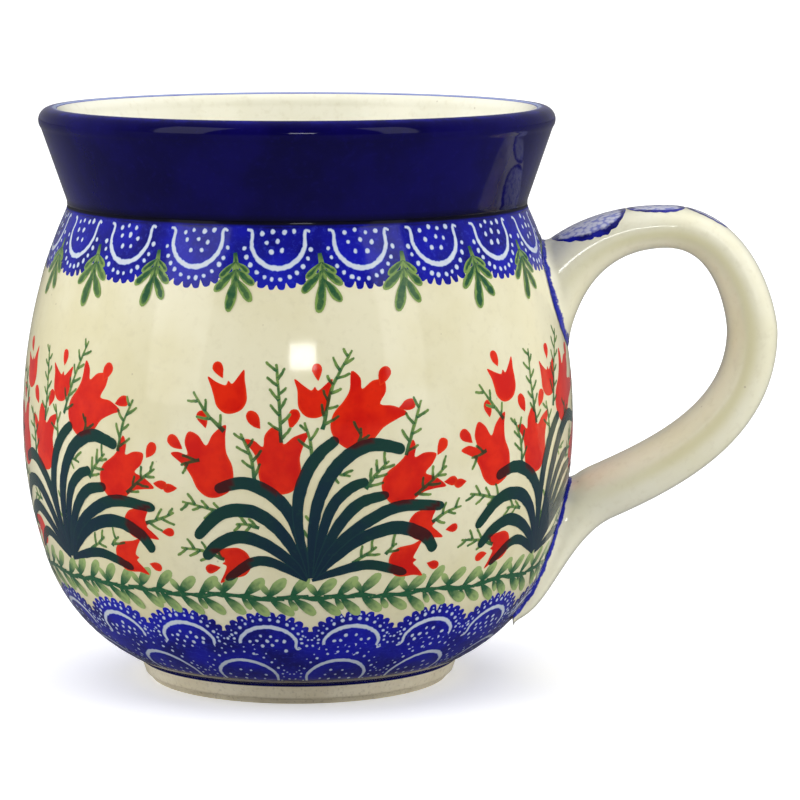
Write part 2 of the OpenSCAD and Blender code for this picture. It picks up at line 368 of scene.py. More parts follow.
# ---- materials
def srgb(r, g, b):
    """A display colour, 0 to 255, as the linear colour that Blender takes."""
    out = [c / 255 for c in (r, g, b)]
    return tuple((c / 12.92 if c <= 0.04045 else ((c + 0.055) / 1.055) ** 2.4) for c in out) + (1.0,)


class Tree:
    """Short ways to add nodes to a shader tree. Inputs take values or other nodes' sockets."""

    def __init__(self, owner):
        owner.use_nodes = True
        self.t = owner.node_tree

    def new(self, kind, **props):
        node = self.t.nodes.new(kind)
        for k, v in props.items():
            setattr(node, k, v)
        return node

    def fill(self, node, values):
        """Sets or links inputs, given by name or number, and returns the node."""
        for key, v in values.items():
            if isinstance(v, bpy.types.NodeSocket):
                self.t.links.new(v, node.inputs[key])
            else:
                node.inputs[key].default_value = v
        return node

    def math(self, op, a, b):
        return self.fill(self.new("ShaderNodeMath", operation=op), {0: a, 1: b}).outputs[0]

    def step(self, a, lo, hi, to_lo=0.0, to_hi=1.0):
        """From to_lo to to_hi, smoothly, as a goes from lo to hi."""
        node = self.new("ShaderNodeMapRange", interpolation_type="SMOOTHSTEP")
        ends = {"From Min": lo, "From Max": hi, "To Min": to_lo, "To Max": to_hi}
        return self.fill(node, {"Value": a, **ends}).outputs["Result"]

    def mix(self, fac, a, b):
        """Colour a where fac is 0 and b where it is 1."""
        node = self.new("ShaderNodeMix", data_type="RGBA")
        return self.fill(node, {"Factor": fac, 6: a, 7: b}).outputs[2]


class Nodes(Tree):
    """A new material, with textures on the object's own coordinates."""

    def __init__(self, name):
        self.mat = bpy.data.materials.new(name)
        super().__init__(self.mat)
        self.shader = self.t.nodes["Principled BSDF"]
        self.pos = self.new("ShaderNodeTexCoord").outputs["Object"]

    def value(self, name):
        return self.new("ShaderNodeAttribute", attribute_name=name).outputs["Fac"]

    def noise(self, size_mm, detail=3.0, rough_=0.55):
        texture = {"Vector": self.pos, "Scale": 1000.0 / size_mm, "Detail": detail, "Roughness": rough_}
        return self.fill(self.new("ShaderNodeTexNoise"), texture).outputs["Fac"]

    def spots(self, size_mm, lo, hi):
        """Round spots, solid out to lo and gone at hi (shares of size_mm)."""
        node = self.new("ShaderNodeTexVoronoi", feature="F1")
        self.fill(node, {"Vector": self.pos, "Scale": 1000.0 / size_mm})
        return self.step(node.outputs["Distance"], hi, lo)

    def part(self, share, a):
        return self.math("MULTIPLY", a, share)

    def ragged(self, a, size_mm, amount):
        """a with noise added, so that a step on it gets an uneven edge."""
        return self.math("ADD", a, self.part(amount, self.math("SUBTRACT", self.noise(size_mm), 0.5)))

    def clouds(self, size_mm, lo, hi, a, b, detail=3.0):
        return self.mix(self.step(self.noise(size_mm, detail), lo, hi), a, b)

    def grains(self, col, size_mm, lo, hi, share, colour, *noise):
        """col with another colour mixed in, up to share, where noise goes from lo to hi."""
        return self.mix(self.part(share, self.step(self.noise(size_mm, *noise), lo, hi)), col, colour)

    def edge(self, a, hi, lo=0.0):
        return self.math("SUBTRACT", 1.0, self.step(a, lo, hi))

    def finish(self, colour, roughness=0.5, coat=1.0, coat_rough=0.08,
               bumps=((6.0, 0.02), (0.9, 0.0015)), spec=0.1, ior=1.36):
        """The shader: a coloured body under a clear coat, both with bumps (size, height in mm)."""
        normal = None
        for size, height in bumps:
            bump = self.new("ShaderNodeBump")
            self.fill(bump, {"Strength": 1.0, "Distance": height * MM, "Height": self.noise(size, 2.0)})
            if normal is not None:
                self.fill(bump, {"Normal": normal})
            normal = bump.outputs["Normal"]
        self.fill(self.shader, {
            "Base Color": colour, "Roughness": roughness, "Specular IOR Level": spec, "Normal": normal,
            "Coat Weight": coat, "Coat Roughness": coat_rough, "Coat IOR": ior, "Coat Normal": normal})
        return self.mat


# Each material is a body colour with clouds, then grains, then what the mesh's values ask for: rim,
# run, tone and over on painted shapes, pool and gap on the handle, thin and crease on the collar, and
# wipe on the foot.
CREAM, CREAM_DEEP = srgb(240, 234, 202), srgb(229, 221, 180)


def ground_material(name, light=CREAM, deep=CREAM_DEEP, pooled=False):
    """Ivory glaze; on the handle it pools, and a line is drawn where it meets the wall."""
    n = Nodes(name)
    col = n.clouds(22.0, 0.35, 0.7, light, deep, 4.0)
    col = n.grains(col, 1.3, 0.5, 0.75, 0.16, srgb(205, 196, 160))
    if pooled:
        col = n.mix(n.part(0.7, n.value("pool")), col, srgb(226, 220, 170))
        line = n.step(n.ragged(n.value("gap"), 2.2, 0.9), 0.32, 0.5, 1.0, 0.0)
        col = n.mix(line, col, n.mix(n.noise(1.0), srgb(20, 24, 150), srgb(52, 62, 190)))
    col = n.mix(n.part(0.35, n.spots(4.2, 0.03, 0.055)), col, srgb(150, 128, 92))
    return n.finish(col, n.step(n.noise(3.0), 0.3, 0.7, 0.42, 0.54), ior=1.5)


def cobalt_material(name, deep=srgb(4, 4, 110), mid=srgb(8, 14, 176), pale=srgb(52, 66, 206), coat=1.0):
    """Cobalt wash, paler in grains and at its edge, and nearly black in the neck (rim above 9): painted shade
    of the crease under the collar.
    """
    n = Nodes(name)
    col = n.clouds(6.5, 0.25, 0.72, deep, mid)
    col = n.grains(col, 0.75, 0.5, 0.78, 0.45, pale, 3.0, 0.65)
    col = n.grains(col, 17.0, 0.56, 0.8, 0.18, pale, 2.0)
    col = n.mix(n.part(0.3, n.edge(n.value("rim"), 0.22)), col, pale)
    # painted shade: nearly black where rim passes 9, in the crease under the collar
    col = n.mix(n.step(n.value("rim"), 9.1, 10.1), col, srgb(4, 3, 26))
    return n.finish(col, coat=coat)


def mark_material(name):
    n = Nodes(name)
    col = n.mix(n.step(n.value("rim"), 0.0, 0.2), srgb(112, 138, 220), srgb(214, 222, 232))
    return n.finish(n.grains(col, 1.1, 0.45, 0.75, 0.3, srgb(176, 182, 222)))


def leaf_material(name, light, dark, dark_share, lo, hi, foot):
    """Leaf green, dark inside and at its foot, and brown over a tulip."""
    n = Nodes(name)
    depth, shade = n.ragged(n.value("rim"), 1.6, 1.2), n.ragged(n.value("tone"), 1.6, 1.2)
    core = n.math("MULTIPLY", n.step(depth, lo, hi), n.step(shade, -0.2, 0.9, 0.45, dark_share))
    low = n.ragged(n.value("run"), 1.2, 0.5)
    core = n.math("MAXIMUM", core, n.step(low, foot + 0.35, foot - 0.25))
    col = n.grains(n.mix(core, light, dark), 0.5, 0.55, 0.8, 0.25, light, 2.0)
    return n.finish(n.mix(n.part(0.8, n.value("over")), col, srgb(70, 30, 14)))


def petal_material(name):
    n = Nodes(name)
    col = n.clouds(4.5, 0.35, 0.7, srgb(212, 14, 0), srgb(230, 38, 2))
    depth = n.math("ADD", n.value("rim"), n.part(0.5, n.noise(1.5)))
    col = n.mix(n.part(0.55, n.edge(depth, 0.75, 0.2)), col, srgb(240, 72, 20))
    return n.finish(n.grains(col, 0.7, 0.56, 0.8, 0.25, srgb(178, 22, 6)))


def blade_material(name):
    """Teal, bluer at the foot of a blade, and maroon over a tulip."""
    n = Nodes(name)
    along = n.ragged(n.value("run"), 5.0, 0.9)
    col = n.mix(n.step(along, 0.15, 0.95), srgb(8, 42, 62), srgb(14, 60, 52))
    col = n.mix(n.part(0.25, n.edge(n.value("rim"), 0.3)), col, srgb(34, 88, 74))
    col = n.grains(col, 0.8, 0.55, 0.8, 0.3, srgb(30, 74, 62))
    return n.finish(n.mix(n.value("over"), col, n.mix(n.noise(1.5), srgb(52, 12, 18), srgb(84, 20, 20))))


def dab_material(name):
    n = Nodes(name)
    depth = n.ragged(n.value("rim"), 1.4, 1.6)
    # the fill: sponge mottle in pale lavender-white, its paleness a painted reflection of the light on the
    # strap's back
    fill = n.mix(n.spots(0.95, 0.4, 0.8), srgb(134, 140, 212), srgb(216, 218, 238))
    dark = n.clouds(2.5, 0.35, 0.65, srgb(6, 6, 112), srgb(22, 30, 170))
    return n.finish(n.mix(n.step(depth, 0.8, 1.5), dark, fill))


def collar_material(name):
    """Dark cobalt, paler where it runs thin on the lip, and nearly black in the neck as painted shade of the
    crease.
    """
    n = Nodes(name)
    col = n.clouds(13.0, 0.35, 0.7, srgb(8, 5, 62), srgb(13, 8, 84))
    col = n.grains(col, 1.0, 0.52, 0.8, 0.25, srgb(24, 20, 108))
    # painted shade: nearly black down in the neck's crease
    col = n.mix(n.value("crease"), col, srgb(3, 2, 18))
    thin = n.ragged(n.value("thin"), 2.4, 0.5)
    col = n.mix(n.step(thin, 0.15, 0.75), col, srgb(26, 28, 160))
    col = n.mix(n.step(thin, 0.8, 1.15), col, srgb(160, 176, 220))
    return n.finish(col, ior=1.3, spec=0.0)


def clay_material(name, light, dark):
    n = Nodes(name)
    col = n.clouds(6.0, 0.35, 0.7, light, dark, 4.0)
    col = n.grains(col, 0.45, 0.52, 0.78, 0.5, srgb(150, 132, 100))
    return n.finish(col, 0.62, coat=0.0, bumps=((3.0, 0.03), (0.5, 0.03)), spec=0.35)


def foot_material(name):
    n = Nodes(name)
    # painted light: the foot's glaze is lighter than the clay it covers, making up for the little light that
    # reaches the foot
    col = n.clouds(7.0, 0.35, 0.7, srgb(250, 240, 212), srgb(238, 226, 194), 4.0)
    col = n.grains(col, 0.6, 0.5, 0.78, 0.4, srgb(168, 154, 120))
    col = n.mix(n.part(0.35, n.value("wipe")), col, srgb(150, 128, 96))
    return n.finish(col, 0.5, coat=0.35, coat_rough=0.2, bumps=((2.0, 0.02), (0.5, 0.012)), spec=0.4)


# ---- the glazed skins
ground = Skin()
s_rows = np.concatenate([np.linspace(0, 3, 36)[:-1], np.linspace(3, S_END, 140)])
revolve(ground, BELLY, s_rows, 360, -SKIN)
ground.build("belly_ground", ground_material("belly_ground_glaze"), *ON_BELLY)

# The collar's lower edge is turned in, under the belly's glaze.
tuck = collar_line[-1] - collar_line[-2]
tuck = tuck / np.linalg.norm(tuck)
tucked = collar_line[-1] + tuck * 0.1 - np.array([-tuck[1], tuck[0]]) * 0.35
collar_out = Outline(np.concatenate([collar_line, [collar_line[-1] + tuck * 0.05, tucked]]))
end = collar_out.length
rows = np.unique(np.concatenate([
    np.linspace(0, 7, 50), np.linspace(7, end - 2, 30), np.linspace(end - 2, end, 24)]))
crest, under = LIP_R * math.radians(LIP_IN - 90), LIP_R * math.radians(LIP_IN - LIP_OUT)
thin = np.exp(-((rows - crest * 0.45) / 0.55) ** 2) * 1.3 + 0.34 * np.exp(-((rows - crest - 0.8) / 1.0) ** 2)
thin = np.maximum(thin - 0.4 * np.exp(-((rows - under) / 0.8) ** 2), 0)
# crease: 0 to 1 over the collar's last 1.6 mm, into the neck, where the collar gets its painted shade
dark = np.clip((rows - end + 1.6) / 1.4, 0, 1)
collar = Skin()
revolve(collar, collar_out, rows, 360, 0.0, thin=np.clip(thin, 0, 1.3), crease=dark)
collar.build("collar_skin", collar_material("collar_glaze"), "cobalt_glaze", ["collar_glaze"])

# The inside: down the wall a wall's thickness behind the belly, round the fillet and across the floor.
FLOOR_Z = WELL_DEPTH + FLOOR_T
inner_neck, inner_lip = np.array([NECK_R - WALL_T, NECK_Z + WALL_T * 0.2]), lip_c - [LIP_R, 0]
heel_inner_r = heel_r - WALL_T
floor_corner = np.array([heel_c[0] + math.sqrt(heel_inner_r ** 2 - (heel_c[1] - FLOOR_Z) ** 2), FLOOR_Z])
wall_in = belly_arcs(WALL_T, 0.84, (120, 80, 200), -90)
wall_in = wall_in[wall_in[:, 1] > FLOOR_Z + FLOOR_FILLET * 0.42]
inner = Outline(np.concatenate([
    arc(lip_c, LIP_R, LIP_IN, 180, 24), fillet(inner_lip, inner_neck, wall_in[0], 8.8, 40), wall_in,
    fillet(wall_in[-1], floor_corner, (0, FLOOR_Z), FLOOR_FILLET, 40), [[0.3, FLOOR_Z]]]))
LINER_AROUND = 288
liner = Skin()
revolve(liner, inner, np.linspace(0, inner.length - 0.06, 220), LINER_AROUND)
hub, last = liner.count, liner.count - LINER_AROUND
liner.add([[0, 0, FLOOR_Z]], [[0, 0, 1]], [])
liner.f += [(last + (i + 1) % LINER_AROUND, last + i, hub) for i in range(LINER_AROUND)]
# The liner's ivory is lighter than the belly's: painted light on the inside wall.
liner_glaze = ground_material("liner_glaze", srgb(254, 252, 236), srgb(248, 245, 224))
liner.build("liner_skin", liner_glaze, "ivory_glaze", ["liner_glaze"])

WIPED_Z, WIPED = 1.0, 0.35  # the foot's glaze ends at this height, and is wiped over this length above it
wiped_r = FOOT_TOP_R - (FOOT_TOP_R - FOOT_R) * (FOOT_H - WIPED_Z) / FOOT_H
foot_out = Outline(np.array([[FOOT_TOP_R, FOOT_H], [wiped_r, WIPED_Z]]))
f_rows = np.linspace(0, foot_out.length, 12)
foot = Skin()
revolve(foot, foot_out, f_rows, 300, -0.05, wipe=np.clip((f_rows - foot_out.length + WIPED) / WIPED, 0, 1))
foot.build("foot_skin", foot_material("foot_glaze"), "clear_glaze", ["foot_glaze"])

# ---- lace bands
cobalt, marks = Paint(on_belly), Paint(on_belly)
FRILLS, LOBE_STEPS = 12, 124
LOBE_SPAN = math.radians(84)  # a scallop's edge runs this far to each side of straight down
LOBE_ROWS = np.array([0, 0.03, 0.06, 0.09, 0.12, 0.16, 0.2, 0.3, 0.4, 0.6, 0.78, 0.9, 0.96, 1.0])
OVERLAP = 0.06  # how far a scallop reaches under its neighbour


def lobe(half, low, reach, seed, neck):
    """One scallop hanging from y = 0: half its width, how far it hangs at the cusp and at its middle."""
    r = random.Random(seed)
    t = np.linspace(-1, 1, LOBE_STEPS + 1)
    phi = t * LOBE_SPAN
    a = half / math.sin(LOBE_SPAN) * 1.01
    b = (reach - low) / (1 - math.cos(LOBE_SPAN))
    wave = np.abs(np.sin(t * FRILLS * math.pi / 2))
    cut = np.zeros(LOBE_STEPS + 1)
    for k in range(1, FRILLS):
        deep = 0.95 * r.uniform(0.35, 1.1)
        cut += deep * np.exp(-((t + 1 - 2 * k / FRILLS - r.uniform(-.02, .02)) / 0.024) ** 2)
    out = 0.42 * wave ** 0.7 - cut
    ex = np.clip((a + out) * np.sin(phi), -half - OVERLAP, half + OVERLAP)
    ey = reach - b + (b + out) * np.cos(phi)
    tx = (half + OVERLAP) * t
    rows_ = LOBE_ROWS[:, None]
    pts = np.stack([tx[None] + (ex - tx)[None] * rows_, -ey[None] * rows_], -1)
    # rim climbs to the top edge; neck lifts it there, past 9 on the hanging band, into the cobalt's painted
    # shade of the neck crease
    rim = np.repeat((1 - rows_) * (reach + neck - 10), LOBE_STEPS + 1, 1)
    return pts.reshape(-1, 2), grid_faces(len(rows_), LOBE_STEPS + 1), rim.ravel(), np.zeros(pts.size // 2)


def dot(x, y, d, seed):
    t = np.linspace(0, 2 * math.pi, 10, endpoint=False)
    r = d / 2 * (1 + rough(10, 0.22, seed, 3))
    return blob(np.stack([x + r * np.cos(t), y + r * np.sin(t)], 1), (x, y), (1.0, 0.55))


def u_line(half, top, low, seed, width):
    """The open line inside a scallop, with a hook at each end."""
    phi = np.radians(np.linspace(-86, 86, 13))
    drops = top + (low - top) * (0.36 + 0.64 * np.cos(phi))
    curve = np.stack([half * np.sin(phi) * (1.06 - 0.06 * np.cos(phi)), -drops], 1)
    pts = np.concatenate([
        [[-half - 1.25, -top - 0.35], [-half - 0.55, -top - 0.5], [-half - 0.2, -top - 1.1]], curve,
        [[half + 0.2, -top - 1.1], [half + 0.5, -top - 0.45], [half + 1.2, -top - 0.7]]])
    return stroke(pts, lambda u: width * (0.5 + 0.55 * np.sin(np.pi * u) ** 0.6), 52, seed, 0.16)


# dots in a scallop, x and y down from where it hangs: in the upper row, the lower rows and their valleys
INNER_DOTS = ((-2.7, 1.9), (-0.9, 1.5), (1.0, 1.8), (2.8, 1.6), (-2.0, 3.4), (0.1, 3.2), (1.9, 3.5),
              (-1.1, 5.0), (0.9, 4.9))
LOW_DOTS = ((-3.3, 1.3), (-1.7, 1.0), (0.0, 1.2), (1.6, 0.9), (3.2, 1.2), (-2.6, 2.7), (-0.9, 2.5),
            (0.8, 2.6), (2.5, 2.5), (-1.9, 4.1), (-0.2, 3.9), (1.6, 4.0), (-1.0, 5.4), (0.7, 5.3),
            (2.9, 3.9), (-3.2, 3.8), (-2.4, -0.3), (0.8, -0.4))
VALLEY_DOTS = ((6.3, 5.4), (7.2, 4.3), (6.1, 3.4), (7.0, 2.6), (5.6, 2.0))


def lace(count, first_angle, s_top, s_cusp, s_low, layer, up, inner_dots=INNER_DOTS, dot_size=1.0):
    """A band of scallops round the belly, hanging down, or standing up when up is true."""
    pitch = 360.0 / count
    half = math.radians(pitch) * BELLY_R / 2
    low, reach = abs(s_cusp - s_top), abs(s_low - s_top)
    kx, ky = half / 7.55, reach / 10.9  # the lobe's size over that of the one the dots are placed for

    def flip(shape):
        """The shape as it hangs, or turned upside down."""
        pts, faces, rim, run = shape
        return pts * [1, -1 if up else 1], faces, rim, run

    for k in range(count):
        at = (first_angle + k * pitch, s_top)
        seed = int(s_low * 10) * 1000 + k
        shift, turn = rng.uniform(-0.12, 0.12), rng.uniform(-0.02, 0.02)
        rng.random()  # not used; it keeps the draws that follow where they are
        # neck 10 gives the hanging band's top edge the painted shade of the crease under the collar
        body = flip(lobe(half, low, reach, seed, 5.0 if up else 10.0))
        tone = rng.random()
        cobalt.lay(body, at, layer, tone)

        def mark(shape, turned=0.0):
            marks.lay(flip(shape), at, layer + 1, tone, turned)

        u = u_line((4.8 if up else 4.6) * kx, 0.9 * ky, 7.75 * ky, seed, 0.9 * min(1, (kx + ky) / 2))
        u[0][:, 0] += shift
        mark(u, turn)
        for i, (x, y) in enumerate(inner_dots):
            if rng.random() < 0.06:
                continue
            x, y = x + rng.uniform(-.18, .18), y + rng.uniform(-.15, .15)
            mark(dot(x * kx * 1.05, -y * ky, dot_size * rng.uniform(0.74, 1.06), seed + i))
        for i in range(12):
            ph = math.radians(-77 + 14 * i + rng.uniform(-1.5, 1.5))
            x, y = 6.15 * math.sin(ph) * kx, (3.0 + 6.6 * math.cos(ph)) * ky
            mark(dot(x, -y, dot_size * rng.uniform(0.7, 0.98), seed + 50 + i))
            if up:
                for vx, vy in VALLEY_DOTS[i:i + 1]:
                    for side in (1, -1):
                        mark(dot(side * vx * kx, -vy * ky, rng.uniform(0.45, 0.7), seed + 120 + i))
                mark(dot(x * 1.13, -y * 1.09 - 0.1, rng.uniform(0.34, 0.5), seed + 80 + i))


UPPER_N = 19
UPPER_PITCH = 360.0 / UPPER_N
CUSP_A = 6.5  # the angle of a cusp of the upper lace
LOW_A, LOW_B = -5.9, 12.3  # where a dome of each lower row is centred
lace(UPPER_N, CUSP_A + UPPER_PITCH / 2, 0.0, 6.2, 10.5, 1, False)
solid_rows = np.linspace(69.0, S_END - 0.4, 30)  # plain cobalt under the lower rows
revolve(cobalt.skin, BELLY, solid_rows, 300, -SKIN + 0.012, rim=2.0, run=0.0, tone=0.0, over=0.0)
lace(18, LOW_A, 71.8, 67.6, 63.0, 3, True, LOW_DOTS, 0.85)
lace(14, LOW_B, S_END, 73.4, 69.6, 5, True, LOW_DOTS, 0.8)
cobalt.skin.build("lace_cobalt", cobalt_material("lace_cobalt"), *ON_BELLY)
marks.skin.build("lace_marks", mark_material("lace_marks"), *ON_BELLY)

# A cobalt line round the neck, under the collar; its rim of 9.3 to 12 makes all of it the cobalt's
# near-black, painted shade of the crease.
neck_line = Skin()
neck_rows = np.linspace(0, 0.75, 12)
neck_rim = np.interp(neck_rows, (0, 0.3, 0.75), (12, 10.2, 9.3))
revolve(neck_line, BELLY, neck_rows, 360, -SKIN + 0.05, rim=neck_rim)
neck_line.build("neck_line", cobalt_material("neck_line", coat=0.3), *ON_BELLY)

band = Skin()
revolve(band, BELLY, np.linspace(S_END - 2.6, S_END, 12), 360, -SKIN + 0.09, rim=1.0, tone=0.0)
revolve(band, foot_out, np.linspace(0, 0.45, 5), 360, -0.01, rim=1.0, tone=0.0)
foot_blue = cobalt_material("foot_line", srgb(3, 4, 62), srgb(6, 9, 96), srgb(16, 26, 140))
band.build("foot_line", foot_blue, *ON_BELLY)

# ---- sprigs that hang from the lace
SPRIG = (  # a leaf's stem x, y, its round end x, y, its width and its seed
    (0.1, -0.9, -2.5, -3.4, 1.4, 20), (0.1, -0.9, 2.3, -2.9, 1.3, 30), (0.1, -2.2, -3.3, -5.7, 1.9, 40),
    (0.2, -2.1, 3.0, -4.9, 1.8, 80), (0.2, -3.6, 2.5, -7.6, 2.0, 120), (0.1, -3.4, -1.1, -9.1, 2.2, 160))
leaves = Paint(on_belly_true)
for k in range(UPPER_N):
    at = (CUSP_A + k * UPPER_PITCH, 5.6)
    turn, tone = rng.uniform(-0.08, 0.08), rng.random()
    size = rng.uniform(0.95, 1.06)
    parts = [stroke([(0, 0.6), (0.15, -1.8), (0, -5)], lambda u: 0.6 + 0.8 * u, 8, k)]
    parts += [drop(*leaf, k + seed, blunt=0.45) for *leaf, seed in SPRIG]
    for i, part in enumerate(parts):
        leaves.lay(part, at, 3 + 0.7 * i, tone, turn, size)
sprig_green = leaf_material("sprig_green", srgb(132, 162, 84), srgb(16, 78, 54), 0.95, 0.12, 0.62, 0.15)
leaves.skin.build("sprigs", sprig_green, *ON_BELLY)

# ---- garland
garland = Paint(on_belly_true)
GARLAND_S = 59.9
GARLAND_N = 72
for k in range(GARLAND_N):
    a = k * 360.0 / GARLAND_N
    at = (a + rng.uniform(-0.3, 0.3), GARLAND_S + 0.25 * math.sin(k * 1.7))
    tone = rng.random()
    up = drop(-0.5, -0.1, 2.9, 3.5 + rng.uniform(-.3, .3), 2.3, k, blunt=0.5)
    dn = drop(-0.1, 0.1, 3.8, -3.3 + rng.uniform(-.3, .3), 2.2, k + 200, blunt=0.5)
    garland.lay(up, at, 1, tone, rng.uniform(-0.12, 0.12))
    garland.lay(dn, at, 6, tone, rng.uniform(-0.12, 0.12))
    if k % 2:
        garland.lay(drop(0.6, 0.1, -1.3, 2.6, 1.5, k + 400, blunt=0.5), at, 2, tone)
    else:
        garland.lay(drop(-0.8, 0.0, 0.7, -2.4, 1.4, k + 600, blunt=0.5), at, 3, tone)
    wavy = [(-2.5, 0.3 * math.sin(k * 1.3)), (0, 0.0), (2.5, 0.3 * math.sin((k + 1) * 1.3))]
    pts, faces, rim, run = stroke(wavy, lambda u: 0.45 + 0.55 * np.sin(np.pi * u) ** 3, 8, k)
    garland.lay((pts, faces, rim, run * 0), at, 7, 1.0)
garland_green = leaf_material("garland_green", srgb(158, 182, 114), srgb(34, 94, 62), 0.4, 0.5, 1.5, 0.5)
garland.skin.build("garland", garland_green, *ON_BELLY)

# ---- bouquets, in millimetres right of and above the point where each one's blades meet
BLADES = (  # through these points, widest width
    (((-0.4, 0), (-1.2, 5), (-3, 10.5), (-6.2, 14), (-10.5, 15.6), (-15, 14.4)), 2.1),
    (((-0.6, 0), (-2.2, 4), (-5, 8.2), (-9, 11), (-14, 10.6), (-18.6, 6.4)), 2.2),
    (((-0.5, -0.3), (-2.6, 2.4), (-6.5, 5.4), (-10.8, 6.9), (-14.6, 5.6), (-17.4, 3)), 2.1),
    (((-0.4, -0.4), (-3, 1.2), (-6.5, 2.8), (-9.5, 2.6), (-14, -0.5)), 1.7),
    (((0, 0), (-1.4, 6), (-1.9, 12), (-0.6, 17), (1.6, 20.3), (4.4, 22.6)), 2.0),
    (((0.2, 0), (0.4, 7), (1.6, 13.5), (4.8, 18.8), (9.6, 21.4), (15.2, 20.4)), 2.2),
    (((0.4, 0.5), (1.6, 6), (3.4, 11.6), (6.2, 14.6), (9.2, 15.8)), 1.8),
    (((0.6, 0), (2.2, 4), (4.6, 8.8), (8, 12.3), (12.6, 13.5)), 1.9),
    (((0.8, 0), (3.6, 4.6), (8.2, 8.6), (14.4, 11.4), (22.4, 11)), 2.0),
    (((0.8, -0.2), (3.4, 2.8), (8.2, 6.4), (14, 8), (19, 6.4), (21.4, 3.6)), 2.2),
    (((0.4, -0.4), (4.4, 1), (10, 2), (16.6, 0.2)), 1.7))
TULIPS = (  # base x, base y, degrees turned to the right, size, middle petal
    (-13.8, 13.4, -22, 1.06, 1), (-4.6, 13.9, 0, 1.0, 1), (-11.9, 26.4, -12, 0.66, 0),
    (0.6, 25.8, 2, 0.62, 0), (4.4, 22.0, 46, 1.14, 1), (11.9, 13.2, 60, 0.98, 1),
    (16.2, 7.6, 80, 0.62, 0), (13.2, 1.9, 84, 0.64, 0), (-9.6, 3.0, -100, 0.62, 0))
BUDS = (  # x, y, direction its point looks in degrees, size
    (-21.6, 21.6, -38, 1), (-16.8, 25.6, -70, 0.92), (-8.7, 25.8, -62, 1.05), (-2.5, 26, -115, 1),
    (-14.6, 33.4, -62, 0.9), (1.1, 33.1, -90, 0.85), (12.2, 32, -115, 1.05), (16, 27.4, -165, 0.95),
    (21.8, 20.6, -120, 0.95), (23.6, 14.8, 180, 0.8), (24.4, 7.2, 180, 0.75), (21.6, 1.2, 165, 0.8),
    (-16.4, 1.4, 10, 0.85), (-22.6, 14.2, 12, 0.8))
FERNS = (  # foot x, y, tip x, y, branches each side
    (-13.4, 23.6, -18.6, 29.6, 2), (-4.4, 22, -5.2, 34.2, 5), (2, 24, 7, 36.2, 5),
    (15.4, 19.5, 18.2, 28, 3), (-13.5, 10.6, -20.6, 12.2, 3), (-14, 3, -21.4, 4.6, 3),
    (-8.6, 16, -10.8, 23.4, 3), (8.8, 14.5, 12.6, 18.8, 3), (17, 13, 22.6, 17.4, 3),
    (3, 17.5, 6.4, 16.6, 1), (20.4, 8.4, 25.8, 10.6, 2), (-0.6, 4, 0.6, 10.5, 2), (7, 2.4, 11, 5, 2),
    (12.6, 3.6, 14.4, 5.4, 1), (0.4, 18.6, -0.8, 25.2, 2), (-8, 8.4, -11.8, 8.9, 2),
    (7.6, 21.6, 8, 24.2, 1), (-17.4, 19, -20.6, 18, 1))


def tulip(size, middle, seed):
    """A closed tulip head on its base, opening upward: round cup and pointed petals."""
    r = random.Random(seed)
    j = lambda v: v + r.uniform(-0.25, 0.25)
    if middle:
        o = [(0, 0), (-2, 0.5), (-3.2, 2.2), (-3.4, 4.4), (-3.9, 6.2), (j(-5.4), j(8.3)), (-4, 8.4),
             (-2.7, 7.5), (-2.4, 9.3), (j(-1.2), j(10.7)), (0, 9.6), (0.6, 7.8), (2.2, 9),
             (j(4.5), j(9.7)), (3.8, 8), (3.1, 5.8), (3.2, 3.4), (2.1, 0.7)]
    else:
        o = [(0, 0), (-2.2, 0.5), (-3.8, 2.4), (-4.1, 4.8), (-4.3, 7), (j(-4.9), j(9.5)), (-2.8, 8.1),
             (-0.7, 6.9), (0.2, 7.8), (1, 6.9), (2.8, 8.4), (j(4.7), j(9.8)), (4.2, 7.1), (4.1, 4.8),
             (3.7, 2.4), (2.2, 0.6)]
    fine = closed_curve(o)
    fine += np.stack([rough(len(fine), 0.1, seed), rough(len(fine), 0.1, seed + 1)], 1)
    shape = blob(fine * size, (0, 4.2 * size), (1.0, 0.9, 0.78, 0.64, 0.5, 0.34, 0.18))
    return shape, len(fine)


def fern(x0, y0, x1, y1, n, seed):
    """A thorny stem: a thin line and short branches that leave it in pairs."""
    r = random.Random(seed)
    d = np.array([x1 - x0, y1 - y0], float)
    length = np.linalg.norm(d)
    d /= length
    s = np.array([-d[1], d[0]])
    curl = r.uniform(-0.08, 0.08) * length
    mid = np.array([x0, y0]) + d * length / 2 + s * curl
    out = [stroke([(x0, y0), mid, (x1, y1)], lambda u: 0.62 - 0.22 * u, None, seed, 0.25, 0.22)]
    for k in range(n):
        for side in (1, -1):
            u = (k + 0.55 + 0.28 * side) / (n + 0.3)
            p = np.array([x0, y0]) + d * length * u + s * curl * (1 - (2 * u - 1) ** 2)
            reach = r.uniform(1.7, 2.8) * (1 - 0.25 * u)
            ang = math.radians(r.uniform(38, 62)) * side
            q = d * math.cos(ang) + s * math.sin(ang)
            way = [p, p + q * reach * 0.55, p + q * reach + d * 0.25]
            out.append(stroke(way, lambda w: 0.54 - 0.12 * w, None, seed + k * 7 + side, 0.2, 0.25))
    return out


